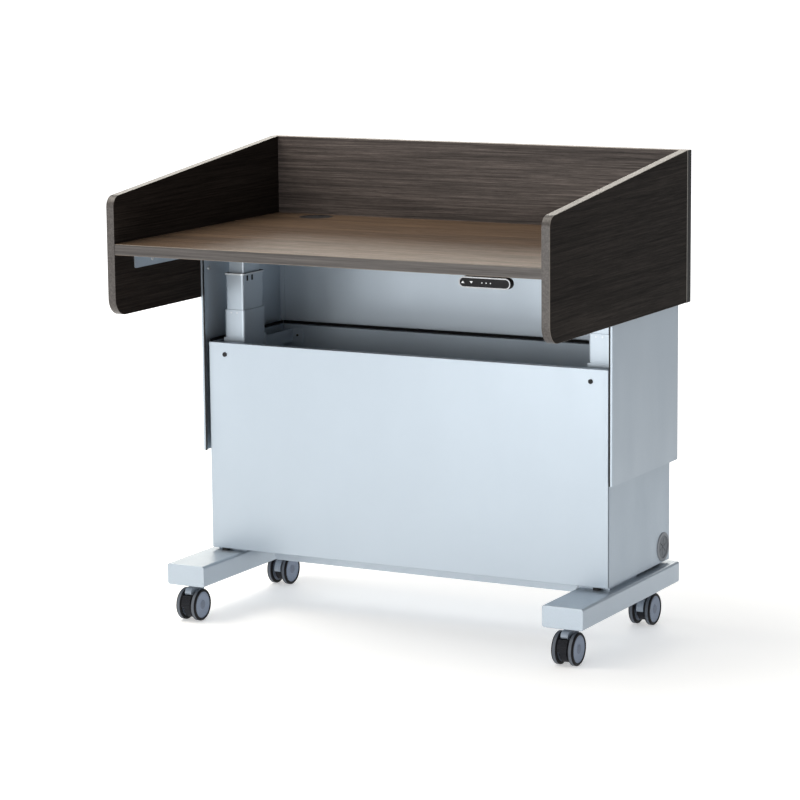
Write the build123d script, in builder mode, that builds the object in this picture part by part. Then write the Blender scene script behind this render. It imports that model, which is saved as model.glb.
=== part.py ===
from build123d import *
import os
from math import cos, radians, sin

os.makedirs("parts", exist_ok=True)

# Height-adjustable console desk on four casters. Millimetres, +Z up, the front faces -Y.
# The origin is on the floor, under the middle of the desk.

# Overall size
WIDTH = 1100.0
DEPTH = 760.0
HEIGHT = 1097.0
FRONT = -DEPTH / 2
BACK = DEPTH / 2

# Wooden boards of the desktop
SIDE_T = 20.0
BACK_T = 25.0
TOP_T = 25.0
TOP_Z = 910.0
UNDER_Z = TOP_Z - TOP_T
SIDE_INNER = WIDTH / 2 - SIDE_T
BACK_FACE = BACK - BACK_T
SIDE_BOTTOM = 746.0
SIDE_FRONT_Z = 1016.0
BOTTOM_CORNER_R = 40.0
TOP_CORNER_R = 25.0
BOARD_ROUND = 1.5
TOP_SETBACK = 1.0

# Sheet-metal shroud under the worktop
SHEET = 1.5
SHROUD_FRONT = -15.5
SHROUD_BOTTOM = 379.0
SHROUD_LIP = 9.0
SHROUD_REAR_LIP = 14.0
SHROUD_TOP_LIP = 20.0
SHROUD_EDGE = {-1: 0, 1: -1}
SHROUD_SCREW_Y = (19.5, 187.0, 335.0)
SHROUD_SCREW_Z = 811.0

# Lower cabinet, open at the top
CABINET_X = 516.0
CABINET_FRONT = -6.5
CABINET_BACK = 342.0
CABINET_BOTTOM = 144.0
CABINET_TOP = 639.0
FRONT_LIP = 15.0
SIDE_LIP = 8.0
TRIM_X = 513.5
REAR_SCREWS = ((-473.0, 611.0), (473.0, 611.0), (-473.0, 230.0), (473.0, 230.0))
TRAY_BOTTOM = 106.0
TRAY_TOP_X = 408.0
TRAY_BEVEL = 15.0
TRAY_FRONT = 85.0
TRAY_BACK = 333.0
TRAY_EAR = (92.0, 160.0)
SHEET_ROUND = 1.2
FLANGE_INSET = 4.0
CORNER_GAP = 4.0
SEAL_HEIGHT = 7.0

INLET = (489.0, 162.0)
INLET_BODY = (28.0, 22.0)
INLET_FLANGE = (44.0, 28.0)
INLET_FLANGE_T = 5.0
INLET_DEPTH = 24.0
INLET_MOUTH = (22.0, 15.0)
INLET_MOUTH_DEPTH = 18.0
INLET_ROUND = 3.0
MOUTH_ROUND = 2.0
BLADE_OFFSETS = ((-6.0, -2.0), (0.0, 2.0), (6.0, -2.0))
BLADE = (2.0, 15.0, 4.0)
SPACER_R = 9.0
SPACER_Y = (3.0, 332.0)
STAY_T = 2.0
STAY_HALF = 16.0
STAY_PLATE_HALF = 28.0
STAY_PLATE_TOP = 645.0
CONTROL_BOX = (190.0, 96.0, 38.0)
CONTROL_BOX_AT = (0.0, 262.0)
CONTROL_BOX_ROUND = (8.0, 3.0)
SOCKET = (14.0, 12.0)
SOCKET_ROUND = 1.5
SOCKET_DEPTH = 8.0
SOCKET_PITCH = 26.0
SOCKET_COUNT = 6

# Feet
FOOT_X = 485.0
FOOT_WIDTH = 100.0
FOOT_HEIGHT = 50.0
FOOT_BOTTOM = 87.0
FOOT_TOP = FOOT_BOTTOM + FOOT_HEIGHT
FOOT_FRONT = -181.0
FOOT_BACK = 358.0
FOOT_LENGTH = FOOT_BACK - FOOT_FRONT
FOOT_WALL = 2.5
FOOT_CORNER = 6.0
FOOT_END_ROUND = 2.0
BOSS_R = 11.0
BOSS_HEIGHT = 18.0

# Telescopic columns: three rectangular stages, centred on (COLUMN_X, COLUMN_Y)
COLUMN_X = 473.0
COLUMN_Y = 89.0
TUBE_WALL = 2.0
OUTER_SIZE = (54.0, 98.0)
MIDDLE_SIZE = (48.0, 92.0)
INNER_SIZE = (42.0, 74.0)
OUTER_R = 6.0
MIDDLE_R = 5.0
INNER_R = 4.0
RUN = 0.08
OUTER_TOP = 711.0
MIDDLE_BOTTOM = 282.0
MIDDLE_TOP = 794.0
GLIDE_SLOT_Y = (63.0, 85.0)
GLIDE_SLOT = (8.0, 13.0)
GLIDE_SLOT_Z = 785.5
GLIDE_PIN_STEP = 8.0
GLIDE_PIN_R = 2.2
GLIDE_PIN_Z = 704.5
GLIDE_PIN_PROUD = 0.6
COLLAR_T = 4.0
COLLAR_OVERHANG = 4.0
SLEEVE_LENGTH = 50.0
INNER_BOTTOM = 392.0
HEAD_PLATE_T = 5.0
HEAD_PLATE = (72.0, 150.0)
HEAD_BOLT_SPACING = (52.0, 130.0)
BASE_PLATE_T = 6.0
BASE_TOP = FOOT_TOP + BASE_PLATE_T
BASE_PLATE = (76.0, 150.0)
BASE_BOLT_SPACING = (52.0, 128.0)
CARRIER_T = 30.0

# Drive in the foot of each column
SPINDLE_R = 8.0
JOURNAL_R = 6.0
JOURNAL_PROUD = 1.0
SHAFT_GAP = 0.1
SHAFT_END = 1.5
SPINDLE_BOTTOM = 160.0
SPINDLE_TOP = 640.0
GEARBOX_TOP = 198.0
GEARBOX_SIZE = (46.0, 90.0)
SNOUT = 50.0
SNOUT_REACH = 46.0
SNOUT_CUT = 4.0
DRIVE_Z = 176.0
MOTOR_R = 28.0
MOTOR_LENGTH = 105.0
MOTOR_ROUND = 2.0
MOTOR_CAP = 6.0
BORE_CLEARANCE = 0.5

# Casters: twin wheels that trail towards the front
CASTER_Y = (-122.0, 299.0)
TRAIL = 26.0
WHEEL_R = 37.5
WHEEL_T = 14.0
WHEEL_GAP = 25.0
AXLE_R = 4.0
AXLE_END = 3.5
# Half section of one wheel: radius and inset from its inner face, then from its outer face
WHEEL_INNER = ((11.0, 0.0), (11.0, 2.0), (29.0, 2.0), (31.0, 0.0), (34.8, 0.0), (WHEEL_R, 2.7))
WHEEL_OUTER = ((WHEEL_R, 2.7), (34.8, 0.0), (31.5, 0.0), (30.5, 1.6), (28.5, 1.6), (27.0, 0.6),
               (12.0, 1.8), (10.0, 0.8), (0.0, 0.5))
STEM_R = 5.0
STEM_PROUD = 4.0
RACE_R = 19.0
RACE_T = 7.0
RACE_EDGE = 1.5
PIN_R = 4.0
PIN_LENGTH = 22.0
FORK_HALF = 8.5
FORK_UNDER = 63.0
FORK_WEB = 8.0
FORK_GAP = 0.5
NOSE_REACH = 20.0
NOSE_STEP = 4.0
NOSE_R = 12.0
BROW_BACK = 2.0
NECK_R = 12.0
NECK_Z = 56.0
NECK_RELIEF = 6.0
SHIELD_R = (27.5, 31.0)
SHIELD_ANGLES = (96.0, 184.0)
HOOD_HALF = 9.0
HOOD_R = 31.0
HOOD_BEHIND_SHIELD = 27.0
HOOD_TOP = 60.0
HOOD_EDGE = 1.0
PEDAL_R = (32.2, 36.2)
PEDAL_ANGLES = (138.0, 184.0)
PEDAL_HALF = 11.6
PEDAL_RIBS = range(144, 184, 8)
PEDAL_RIB_R = 0.9
ARM_T = 2.0
EYE_R = 8.0
ACROSS = 40.0

# Handset under the front edge
HANDSET_X = 397.0
HANDSET_Z = 871.0
HANDSET_LENGTH = 122.0
HANDSET_HEIGHT = 24.0
HANDSET_DEPTH = 17.0
HANDSET_ROUND = 2.0
POCKET_MARGIN = 1.0
POCKET_SPARE = 1.0
HANGER_INSET = 3.0
HANGER_SINK = 1.0
BEZEL_T = 2.0
BEZEL_WIDTH = 2.6
BEZEL_ROUND = 0.8
FACE_T = 1.2
BUTTON_X = (346.0, 366.0)
BUTTON_SIZE = (9.0, 8.0)
BUTTON_CORNER = 2.0
BUTTON_EDGE = 0.4
BUTTON_LIP = 0.8
BUTTON_STEM = 3.0
BUTTON_GAP = 0.3
DOT_X = (391.0, 401.0, 411.0)
DOT_R = 1.3
DOT_T = 0.2

# Cable grommets
DESK_GROMMET = (-396.0, 303.0)
DESK_HOLE_R = 38.0
DESK_FLANGE_R = 41.0
DESK_BORE_R = 34.0
SIDE_GROMMET = (304.0, 180.0)
SIDE_HOLE_R = 30.0
SIDE_FLANGE_R = 34.0
SIDE_BORE_R = 26.5
GROMMET_RIM = 2.0
RIM_ROUND = 1.2
FLUSH_ROUND = 0.6
LEDGE = 3.0
CAP_Z = 903.0
CAP_T = 6.0
CAP_ROUND = 1.0
CAP_LIFT = 0.05
NOTCH = (18.0, 16.0)
SIDE_RING_DEPTH = 8.0
DIAPHRAGM_T = 2.0
SLIT = 1.6
SLIT_END = 7.0
SLIT_ANGLES = (20.0, 80.0, 140.0)

# Fasteners
M5_R = 2.5
M6_R = 3.0
M8_R = 4.0
BOLT_HEAD_R = 7.0
BOLT_HEAD_T = 5.0
BOLT_REACH = 12.0
SCREW_Z = 611.0
ANGLE_LEG = 38.0
ANGLE_T = 3.0
ANGLE_ROUND = 5.0
ANGLE_FRONT = -300.0
ANGLE_BACK = -20.0
ANGLE_SCREW_Y = (-228.0, -90.0)
ANGLE_SCREW_Z = 862.0
ANGLE_SCREW_DEPTH = 14.0
HEAD_BOLT_DEPTH = 16.0
# Screw heads: radius of the shank, radius and height of the head, radius of the socket
PANEL_SCREW = (M5_R, 5.5, 3.0, 1.6)
HEAD_ROUND = 0.45  # share of a screw head's thickness
HEAD_SOCKET = 0.5  # share of a screw head's thickness
BOARD_SCREW = (M5_R, 4.8, 2.4, 1.5)
HEAD_BOLT = (M6_R, 5.5, 3.5, 1.8)
SIDES = (("left", -1), ("right", 1))


def front_plane(y):
    """Plane that faces the front, at depth y: its local axes are X and Z, and it extrudes to -Y."""
    return Plane.XZ.offset(-y)


def side_plane(x):
    """Plane that faces right, at x: its local axes are Y and Z, and it extrudes to +X."""
    return Plane.YZ.offset(x)


def slab(low, high, mode=Mode.ADD):
    """Add or cut a plain block between two corners of the part that is being built."""
    low, high = [[pick(a, b) for a, b in zip(low, high)] for pick in (min, max)]
    with Locations(tuple((a + b) / 2 for a, b in zip(low, high))):
        Box(*[b - a for a, b in zip(low, high)], mode=mode)


def rod(start, direction, radius, length, mode=Mode.ADD):
    """Add or cut a round rod that starts at a point and runs along a direction."""
    with Locations(Plane(origin=start, z_dir=direction)):
        Cylinder(radius, length, align=(Align.CENTER, Align.CENTER, Align.MIN), mode=mode)


def screw(start, direction, sizes, length):
    """Add a screw: a domed head that stands on the start point, and a shank along the direction."""
    radius, head_r, head_t, socket_r = sizes
    back = Vector(*direction) * -1
    rod(start, direction, radius, length)
    rod(start, back, head_r, head_t)
    rim = edges().filter_by(GeomType.CIRCLE).group_by(SortBy.RADIUS)[-1]
    outer = max(rim, key=lambda edge: (edge.center() - Vector(*start)).dot(back))
    fillet(outer, head_t * HEAD_ROUND)
    top = Vector(*start) + back * head_t
    rod(tuple(top), direction, socket_r, head_t * HEAD_SOCKET, mode=Mode.SUBTRACT)


def finish(piece, label):
    """Name a finished piece and write its file."""
    piece.part.label = label
    export_step(piece.part, f"parts/{label}.step")


def group(label, solids):
    """Write one node that holds several separate solids of the same kind."""
    with BuildPart() as piece:
        for solid in solids:
            add(solid)
    finish(piece, label)


# ---------------------------------------------------------------- feet and casters


def foot(side, label):
    """Closed rectangular tube with bosses for the caster stems and holes for the column bolts."""
    x = side * FOOT_X
    mid_z = FOOT_BOTTOM + FOOT_HEIGHT / 2
    with BuildPart() as piece:
        with BuildSketch(front_plane(FOOT_BACK)):
            with Locations((x, mid_z)):
                RectangleRounded(FOOT_WIDTH, FOOT_HEIGHT, FOOT_CORNER)
        extrude(amount=FOOT_LENGTH)
        ends = [face.edges() for face in piece.faces().filter_by(Axis.Y)]
        fillet([edge for loop in ends for edge in loop], FOOT_END_ROUND)
        with BuildSketch(front_plane(FOOT_BACK - FOOT_WALL)):
            with Locations((x, mid_z)):
                inner = [FOOT_WIDTH - 2 * FOOT_WALL, FOOT_HEIGHT - 2 * FOOT_WALL]
                RectangleRounded(*inner, FOOT_CORNER - FOOT_WALL)
        extrude(amount=FOOT_LENGTH - 2 * FOOT_WALL, mode=Mode.SUBTRACT)
        for y in CASTER_Y:
            rod((x, y, FOOT_BOTTOM + 1), (0, 0, 1), BOSS_R, BOSS_HEIGHT - 1)
            rod((x, y, FOOT_BOTTOM), (0, 0, 1), STEM_R, BOSS_HEIGHT, mode=Mode.SUBTRACT)
        for bolt_x, bolt_y in bolt_points(side, BASE_BOLT_SPACING):
            rod((bolt_x, bolt_y, FOOT_TOP), (0, 0, -1), M8_R, FOOT_WALL, mode=Mode.SUBTRACT)
    finish(piece, label)


def bolt_points(side, spacing):
    """Four corners of a bolt pattern about one column's axis."""
    half_x, half_y = spacing[0] / 2, spacing[1] / 2
    return [
        (side * COLUMN_X + step_x * half_x, COLUMN_Y + step_y * half_y)
        for step_x in (-1, 1)
        for step_y in (-1, 1)
    ]


def caster_stem(x, y):
    """Swivel race with a threaded stem above it and a plain pin below it."""
    with BuildPart() as piece:
        rod((x, y, FOOT_BOTTOM - RACE_T), (0, 0, 1), RACE_R, RACE_T)
        chamfer(piece.edges().filter_by(GeomType.CIRCLE).sort_by(Axis.Z)[0], RACE_EDGE)
        rod((x, y, FOOT_BOTTOM), (0, 0, 1), STEM_R, BOSS_HEIGHT + STEM_PROUD)
        rod((x, y, FOOT_BOTTOM - RACE_T), (0, 0, -1), PIN_R, PIN_LENGTH)
    return piece.part


def sector(axle_y, radii, angles, low_x, width):
    """Add part of a ring about the wheel axle, between two angles from the rear."""
    reach = 2 * WHEEL_R
    with BuildSketch(side_plane(low_x)) as shape:
        with Locations((axle_y, WHEEL_R)):
            Circle(radii[1])
            Circle(radii[0], mode=Mode.SUBTRACT)
            wedge = [(reach * cos(radians(a)), reach * sin(radians(a))) for a in angles]
            Polygon((0, 0), *wedge, align=None, mode=Mode.INTERSECT)
    extrude(shape.sketch, amount=width)


def caster_fork(x, y, label, shield):
    """Grey swivel arm: a neck on the pin, a nose over the wheels and a web down to the axle."""
    axle_y = y - TRAIL
    top = FOOT_BOTTOM - RACE_T - FORK_GAP
    with BuildPart() as piece:
        rod((x, y, NECK_Z), (0, 0, 1), NECK_R, top - NECK_Z)
        with BuildSketch(side_plane(x - FORK_HALF)):
            with BuildLine():
                tip = (axle_y - NOSE_REACH - NOSE_STEP, FORK_UNDER + NOSE_STEP)
                brow = (tip[0] + NOSE_R - BROW_BACK, top)
                Polyline((y, FORK_UNDER), (axle_y + FORK_WEB, FORK_UNDER), (axle_y + FORK_WEB, WHEEL_R),
                         (axle_y - FORK_WEB, WHEEL_R), (axle_y - FORK_WEB, FORK_UNDER),
                         (axle_y - NOSE_REACH, FORK_UNDER), tip)
                RadiusArc(tip, brow, NOSE_R)
                Polyline(brow, (y, top), (y, FORK_UNDER))
            make_face()
        extrude(amount=2 * FORK_HALF)
        rod((x - FORK_HALF, axle_y, WHEEL_R), (1, 0, 0), EYE_R, 2 * FORK_HALF)
        if shield:
            sector(axle_y, SHIELD_R, SHIELD_ANGLES, x - FORK_HALF, 2 * FORK_HALF)
        rod((x, y, NECK_Z), (0, 0, 1), PIN_R + RUN, top - NECK_Z, mode=Mode.SUBTRACT)
        rod((x - ACROSS / 2, axle_y, WHEEL_R), (1, 0, 0), AXLE_R + RUN, ACROSS, mode=Mode.SUBTRACT)
    finish(piece, label)


def caster_hood(x, y, label, radius):
    """Black disc-shaped cover between the wheels, slotted for the fork's web."""
    axle_y = y - TRAIL
    half = ACROSS / 2
    web = FORK_WEB + FORK_GAP
    with BuildPart() as piece:
        rod((x - HOOD_HALF, axle_y, WHEEL_R), (1, 0, 0), radius, 2 * HOOD_HALF)
        chamfer(piece.edges().filter_by(GeomType.CIRCLE), HOOD_EDGE)
        slab((x - half, axle_y - ACROSS, HOOD_TOP), (x + half, axle_y + ACROSS, FOOT_BOTTOM), Mode.SUBTRACT)
        slab((x - half, axle_y - web, WHEEL_R), (x + half, axle_y + web, FOOT_BOTTOM), Mode.SUBTRACT)
        rod((x - half, axle_y, WHEEL_R), (1, 0, 0), EYE_R + FORK_GAP, ACROSS, mode=Mode.SUBTRACT)
        rod((x, y, NECK_Z - NECK_RELIEF), (0, 0, 1), NECK_R + FORK_GAP, ACROSS, mode=Mode.SUBTRACT)
    finish(piece, label)


def wheel_profile(inner, outer, step):
    """Half section of one wheel in local (radius, x): rounded tread, dished outer face, raised cap."""
    inside = [(radius, inner + step * inset) for radius, inset in WHEEL_INNER]
    outside = [(radius, outer - step * inset) for radius, inset in WHEEL_OUTER]
    end = outer - step * AXLE_END
    return [(AXLE_R, inner), *inside, *outside, (0.0, end), (AXLE_R, end)]


def caster_wheels(x, y, label):
    """Two wheels and the axle that turns with them."""
    axle_y = y - TRAIL
    with BuildPart() as piece:
        for step in (-1, 1):
            inner = x + step * WHEEL_GAP / 2
            outer = inner + step * WHEEL_T
            with BuildSketch(Plane.XY.offset(WHEEL_R)):
                with BuildLine():
                    points = wheel_profile(inner, outer, step)
                    Polyline([(along, axle_y + radius) for radius, along in points], close=True)
                make_face()
            revolve(axis=Axis((x, axle_y, WHEEL_R), (1, 0, 0)))
        reach = WHEEL_GAP / 2 + WHEEL_T - AXLE_END
        rod((x - reach, axle_y, WHEEL_R), (1, 0, 0), AXLE_R, 2 * reach)
    finish(piece, label)


def brake_pedal(x, y, label):
    """Ribbed pedal in front of the hood, on two arms with eyes round the axle."""
    axle_y = y - TRAIL
    arms = (x - PEDAL_HALF, x + PEDAL_HALF - ARM_T)
    with BuildPart() as piece:
        sector(axle_y, PEDAL_R, PEDAL_ANGLES, x - PEDAL_HALF, 2 * PEDAL_HALF)
        for low_x in arms:
            sector(axle_y, (EYE_R - 1, PEDAL_R[0] + FORK_GAP), PEDAL_ANGLES, low_x, ARM_T)
            rod((low_x, axle_y, WHEEL_R), (1, 0, 0), EYE_R, ARM_T)
        for angle in PEDAL_RIBS:
            rib_y = axle_y + PEDAL_R[1] * cos(radians(angle))
            rib_z = WHEEL_R + PEDAL_R[1] * sin(radians(angle))
            rod((x - PEDAL_HALF, rib_y, rib_z), (1, 0, 0), PEDAL_RIB_R, 2 * PEDAL_HALF)
        rod((x - ACROSS / 2, axle_y, WHEEL_R), (1, 0, 0), AXLE_R + RUN, ACROSS, mode=Mode.SUBTRACT)
    finish(piece, label)


# ---------------------------------------------------------------- lower cabinet


def lower_front_panel():
    """Folded sheet across the front, with flanges along its top and bottom."""
    back = CABINET_FRONT + SHEET
    with BuildPart() as piece:
        slab((-CABINET_X, CABINET_FRONT, CABINET_BOTTOM), (CABINET_X, back, CABINET_TOP))
        fillet(piece.edges().filter_by(Axis.Z).group_by(Axis.Y)[0], SHEET_ROUND)
        for low_z in (CABINET_BOTTOM, CABINET_TOP - SHEET):
            slab((-TRIM_X, back, low_z), (TRIM_X, back + FRONT_LIP, low_z + SHEET))
        fillet(piece.edges().filter_by(Axis.X).group_by(Axis.Y)[0], SHEET_ROUND)
        for side in (-1, 1):
            rod((side * COLUMN_X, back, SCREW_Z), (0, -1, 0), M5_R, SHEET, mode=Mode.SUBTRACT)
    finish(piece, "lower_front_panel")


def lower_side_panel(side, label):
    """Flat side wall of the cabinet: narrow flanges top and bottom, and a seal along the top."""
    inner = CABINET_X - SHEET
    front = CABINET_FRONT + SHEET + CORNER_GAP
    back = CABINET_BACK - SHEET
    with BuildPart() as piece:
        slab((side * inner, front, CABINET_BOTTOM), (side * CABINET_X, back, CABINET_TOP))
        slab((side * inner, front, CABINET_TOP), (side * CABINET_X, back, CABINET_TOP + SEAL_HEIGHT))
        for low_z in (CABINET_BOTTOM, CABINET_TOP - SHEET):
            slab(
                (side * inner, CABINET_FRONT + FRONT_LIP + FLANGE_INSET, low_z),
                (side * (inner - SIDE_LIP), CABINET_BACK - FRONT_LIP - FLANGE_INSET, low_z + SHEET),
            )
        if side > 0:
            start = (inner, *SIDE_GROMMET)
            rod(start, (1, 0, 0), SIDE_HOLE_R, SHEET, mode=Mode.SUBTRACT)
    finish(piece, label)


def lower_rear_panel():
    """Folded sheet across the back: flanges, a seal on its top edge and the inlet's cut-out."""
    front = CABINET_BACK - SHEET
    with BuildPart() as piece:
        slab((-CABINET_X, front, CABINET_BOTTOM), (CABINET_X, CABINET_BACK, CABINET_TOP))
        fillet(piece.edges().filter_by(Axis.Z).group_by(Axis.Y)[-1], SHEET_ROUND)
        slab((-TRIM_X, front, CABINET_TOP), (TRIM_X, CABINET_BACK, CABINET_TOP + SEAL_HEIGHT))
        for low_z in (CABINET_BOTTOM, CABINET_TOP - SHEET):
            slab((-TRIM_X, front, low_z), (TRIM_X, front - FRONT_LIP, low_z + SHEET))
        for x, z in REAR_SCREWS:
            rod((x, front, z), (0, 1, 0), M5_R, SHEET, mode=Mode.SUBTRACT)
        low, high = inlet_corners(front, CABINET_BACK)
        slab(low, high, mode=Mode.SUBTRACT)
    finish(piece, "lower_rear_panel")


def inlet_corners(front, back):
    """Opposite corners of the power inlet's body between two depths."""
    x, z = INLET
    half_x, half_z = INLET_BODY[0] / 2, INLET_BODY[1] / 2
    return (x - half_x, front, z - half_z), (x + half_x, back, z + half_z)


def power_inlet():
    """Appliance inlet: a flange behind the rear panel, a body inside it and three blades."""
    x, z = INLET
    with BuildPart() as piece:
        low, high = inlet_corners(CABINET_BACK - INLET_DEPTH, CABINET_BACK)
        slab(low, high)
        with BuildSketch(front_plane(CABINET_BACK)):
            with Locations((x, z)):
                RectangleRounded(*INLET_FLANGE, INLET_ROUND)
        extrude(amount=-INLET_FLANGE_T)
        with BuildSketch(front_plane(CABINET_BACK + INLET_FLANGE_T)):
            with Locations((x, z)):
                RectangleRounded(*INLET_MOUTH, MOUTH_ROUND)
        extrude(amount=INLET_MOUTH_DEPTH, mode=Mode.SUBTRACT)
        floor_y = CABINET_BACK + INLET_FLANGE_T - INLET_MOUTH_DEPTH
        for step_x, step_z in BLADE_OFFSETS:
            low = (x + step_x - BLADE[0] / 2, floor_y, z + step_z - BLADE[2] / 2)
            slab(low, tuple(start + size for start, size in zip(low, BLADE)))
    finish(piece, "power_inlet")


def bottom_tray():
    """Shallow open tray with bevelled ends, hung from the column plates by two ears."""
    with BuildPart() as piece:
        for inset, mode in ((0.0, Mode.ADD), (SHEET, Mode.SUBTRACT)):
            with BuildSketch(front_plane(TRAY_BACK - inset)):
                low_x = TRAY_TOP_X - TRAY_BEVEL
                Polygon(
                    (-TRAY_TOP_X + inset, CABINET_BOTTOM), (-low_x + inset, TRAY_BOTTOM + inset),
                    (low_x - inset, TRAY_BOTTOM + inset), (TRAY_TOP_X - inset, CABINET_BOTTOM),
                    align=None,
                )
            extrude(amount=TRAY_BACK - TRAY_FRONT - 2 * inset, mode=mode)
        ear_low = CABINET_BOTTOM - SHEET
        for side in (-1, 1):
            inboard = side * (COLUMN_X - BASE_PLATE[0] / 2)
            start = side * (TRAY_TOP_X - SHEET)
            slab((start, TRAY_EAR[0], ear_low), (inboard, TRAY_EAR[1], CABINET_BOTTOM))
    finish(piece, "bottom_tray")


def panel_spacer(x, y):
    """Round pad that carries the cabinet a little above the foot."""
    with BuildPart() as piece:
        rod((x, y, FOOT_TOP), (0, 0, 1), SPACER_R, CABINET_BOTTOM - FOOT_TOP)
    return piece.part


def panel_stay(x, near, far):
    """Folded stay: a tall plate on a column face, a web, and a flange on a cabinet panel."""
    step = 1 if far > near else -1
    low_z, high_z = SCREW_Z - STAY_HALF, SCREW_Z + STAY_HALF
    with BuildPart() as piece:
        slab(
            (x - STAY_PLATE_HALF, near, low_z),
            (x + STAY_PLATE_HALF, near + step * STAY_T, STAY_PLATE_TOP),
        )
        slab((x - STAY_HALF, far, low_z), (x + STAY_HALF, far - step * STAY_T, high_z))
        slab((x - STAY_HALF, near, low_z), (x - STAY_HALF + STAY_T, far, high_z))
        rod((x, far, SCREW_Z), (0, -step, 0), M5_R, STAY_T, mode=Mode.SUBTRACT)
    return piece.part


def panel_screw(x, y, z, direction):
    """Black button-head screw through a cabinet panel into its stay."""
    with BuildPart() as piece:
        screw((x, y, z), (0, direction, 0), PANEL_SCREW, SHEET + STAY_T + PANEL_SCREW[2])
    return piece.part


def control_box():
    """Closed box with rounded corners and a row of sockets, in the bottom tray."""
    low_z = TRAY_BOTTOM + SHEET
    with BuildPart() as piece:
        with BuildSketch(Plane.XY.offset(low_z)):
            with Locations(CONTROL_BOX_AT):
                RectangleRounded(*CONTROL_BOX[:2], CONTROL_BOX_ROUND[0])
        extrude(amount=CONTROL_BOX[2])
        fillet(piece.faces().sort_by(Axis.Z)[-1].edges(), CONTROL_BOX_ROUND[1])
        front = CONTROL_BOX_AT[1] - CONTROL_BOX[1] / 2
        with BuildSketch(front_plane(front)):
            with Locations((CONTROL_BOX_AT[0], low_z + CONTROL_BOX[2] / 2)):
                with GridLocations(SOCKET_PITCH, 1, SOCKET_COUNT, 1):
                    RectangleRounded(*SOCKET, SOCKET_ROUND)
        extrude(amount=-SOCKET_DEPTH, mode=Mode.SUBTRACT)
    finish(piece, "control_box")


# ---------------------------------------------------------------- columns and drive


def bore_of(size):
    """Inside size of a tube of this outside size."""
    return [length - 2 * TUBE_WALL for length in size]


def sleeve(side, outside, outside_r, inside, inside_r, low_z, high_z):
    """Rectangular ring with rounded corners round a column's axis, between two heights."""
    with BuildPart() as ring:
        for size, corner, mode in ((outside, outside_r, Mode.ADD), (inside, inside_r, Mode.SUBTRACT)):
            with BuildSketch(Plane.XY.offset(low_z)):
                with Locations((side * COLUMN_X, COLUMN_Y)):
                    RectangleRounded(*size, corner)
            extrude(amount=high_z - low_z, mode=mode)
    return ring.part


def tube(side, size, corner, low_z, high_z):
    """One length of column tube."""
    return sleeve(side, size, corner, bore_of(size), corner - TUBE_WALL, low_z, high_z)


def glide(side, outside, outside_r, inside, inside_r, low_z, high_z):
    """Plastic sleeve that fits round a sliding tube with a running gap."""
    running = [length + 2 * RUN for length in inside]
    return sleeve(side, outside, outside_r, running, inside_r + RUN, low_z, high_z)


def pin_points(side):
    """Centres of the two glide pins on the front face of an outer tube."""
    front = COLUMN_Y - OUTER_SIZE[1] / 2
    return [(side * COLUMN_X + step * GLIDE_PIN_STEP, front, GLIDE_PIN_Z) for step in (-1, 1)]


def outer_tube(side, label):
    """Lowest stage: a base plate on the foot, and a tube with a window for the drive."""
    x = side * COLUMN_X
    walls = tube(side, OUTER_SIZE, OUTER_R, FOOT_TOP, OUTER_TOP)
    with BuildPart() as piece:
        add(walls)
        half_x, half_y = BASE_PLATE[0] / 2, BASE_PLATE[1] / 2
        slab((x - half_x, COLUMN_Y - half_y, FOOT_TOP), (x + half_x, COLUMN_Y + half_y, BASE_TOP))
        for bolt_x, bolt_y in bolt_points(side, BASE_BOLT_SPACING):
            rod((bolt_x, bolt_y, FOOT_TOP), (0, 0, 1), M8_R, BASE_PLATE_T, mode=Mode.SUBTRACT)
        inboard = x - side * OUTER_SIZE[0] / 2
        half = SNOUT / 2 + BORE_CLEARANCE
        slab(
            (inboard, COLUMN_Y - half, DRIVE_Z - half),
            (inboard + side * TUBE_WALL, COLUMN_Y + half, DRIVE_Z + half),
            mode=Mode.SUBTRACT,
        )
        for start in pin_points(side):
            rod(start, (0, 1, 0), GLIDE_PIN_R, TUBE_WALL, mode=Mode.SUBTRACT)
    finish(piece, label)


def outer_glide(side):
    """Sleeve between the outer tube's mouth and the middle tube, held by two pins."""
    low_z = OUTER_TOP - SLEEVE_LENGTH
    corner = OUTER_R - TUBE_WALL
    lining = glide(side, bore_of(OUTER_SIZE), corner, MIDDLE_SIZE, MIDDLE_R, low_z, OUTER_TOP)
    with BuildPart() as piece:
        add(lining)
        for x, y, z in pin_points(side):
            rod((x, y - GLIDE_PIN_PROUD, z), (0, 1, 0), GLIDE_PIN_R, TUBE_WALL + GLIDE_PIN_PROUD)
    return piece.part


def middle_tube(side, label):
    """Middle stage, with two glide slots near the top of its inboard wall."""
    x = side * COLUMN_X
    walls = tube(side, MIDDLE_SIZE, MIDDLE_R, MIDDLE_BOTTOM, MIDDLE_TOP)
    with BuildPart() as piece:
        add(walls)
        wall = x - side * MIDDLE_SIZE[0] / 2
        for y in GLIDE_SLOT_Y:
            low = (wall, y - GLIDE_SLOT[0] / 2, GLIDE_SLOT_Z - GLIDE_SLOT[1] / 2)
            slab(low, (wall + side * TUBE_WALL, low[1] + GLIDE_SLOT[0], low[2] + GLIDE_SLOT[1]),
                 Mode.SUBTRACT)
    finish(piece, label)


def middle_collar(side, label):
    """Plastic collar on the middle tube: an overhanging plate and a sleeve down inside."""
    low_z, high_z = MIDDLE_TOP - SLEEVE_LENGTH, MIDDLE_TOP + COLLAR_T
    wide = [length + 2 * COLLAR_OVERHANG for length in MIDDLE_SIZE]
    bore = bore_of(MIDDLE_SIZE)
    lining = glide(side, bore, MIDDLE_R - TUBE_WALL, INNER_SIZE, INNER_R, low_z, high_z)
    plate = glide(side, wide, MIDDLE_R + COLLAR_OVERHANG, INNER_SIZE, INNER_R, MIDDLE_TOP, high_z)
    with BuildPart() as piece:
        add(lining)
        add(plate)
    finish(piece, label)


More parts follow.
